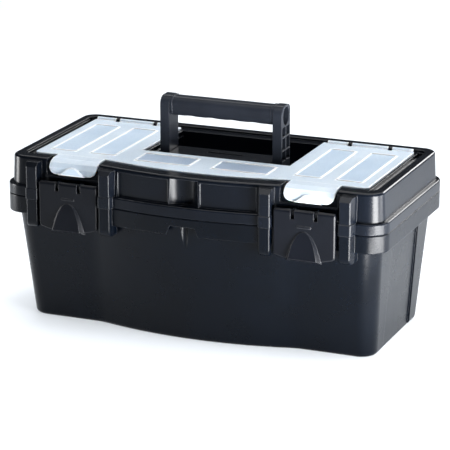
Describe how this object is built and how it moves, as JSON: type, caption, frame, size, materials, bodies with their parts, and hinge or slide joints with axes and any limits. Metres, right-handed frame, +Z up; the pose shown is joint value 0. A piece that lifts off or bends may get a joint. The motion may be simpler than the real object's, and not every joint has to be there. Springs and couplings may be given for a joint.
{
  "type": "carpenter toolbox",
  "caption": "Moulded tool box with a bowed front, hinged lid with a see-through organiser cover, draw latches, fold-down handle and lift-out tray.",
  "frame": {"origin": "centre of the flat floor that the box stands on", "axes": "+X along the length to the right as seen from the front, -Y out of the latched front, +Z up"},
  "size_m": [0.46, 0.2542, 0.2585],
  "materials": {
    "tub_plastic": "satin moulded polypropylene, near black",
    "lid_plastic": "satin moulded polypropylene, near black",
    "latch_plastic": "fine-textured moulded plastic, black",
    "handle_plastic": "satin moulded plastic, dark slate",
    "cover_plastic": "milky translucent polypropylene",
    "tray_plastic": "satin moulded polypropylene, near black",
    "divider_plastic": "thin moulded plastic",
    "pin_steel": "plain steel rod"
  },
  "bodies": {
    "base": {"base_tub": "tub_plastic", "hinge_pin_left": "pin_steel", "hinge_pin_right": "pin_steel"},
    "tray": {"tote_tray": "tray_plastic"},
    "lid": {"lid_shell": "lid_plastic", "latch_pin_left": "pin_steel", "latch_pin_right": "pin_steel", "cover_hinge_pin_left": "pin_steel", "cover_hinge_pin_right": "pin_steel", "handle_pivot_left": "pin_steel", "handle_pivot_right": "pin_steel", "wing_divider_left": "divider_plastic", "wing_divider_right": "divider_plastic", "strip_divider": "divider_plastic"},
    "cover": {"organiser_cover": "cover_plastic"},
    "latch_left": {"latch_left": "latch_plastic"},
    "latch_right": {"latch_right": "latch_plastic"},
    "handle": {"handle_arm_left": "handle_plastic", "handle_arm_right": "handle_plastic", "handle_grip": "handle_plastic"}
  },
  "joints": [
    {"name": "lid_hinge", "type": "hinge", "parent": "base", "child": "lid", "pos_m": [0, 0.12, 0.1505], "axis": [-1, 0, 0], "range_deg": [0, 105]},
    {"name": "cover_hinge", "type": "hinge", "parent": "lid", "child": "cover", "pos_m": [0, 0.082, 0.1966], "axis": [-1, 0, 0], "range_deg": [0, 110]},
    {"name": "latch_left_hinge", "type": "hinge", "parent": "lid", "child": "latch_left", "pos_m": [-0.1425, -0.1142, 0.1695], "axis": [-1, 0, 0], "range_deg": [0, 90]},
    {"name": "latch_right_hinge", "type": "hinge", "parent": "lid", "child": "latch_right", "pos_m": [0.1425, -0.1142, 0.1695], "axis": [-1, 0, 0], "range_deg": [0, 90]},
    {"name": "handle_fold", "type": "hinge", "parent": "lid", "child": "handle", "pos_m": [0, -0.002, 0.18], "axis": [-1, 0, 0], "range_deg": [0, 90]},
    {"name": "tray_lift", "type": "slide", "parent": "base", "child": "tray", "axis": [0, 0, 1], "range_m": [0, 0.009]}
  ]
}
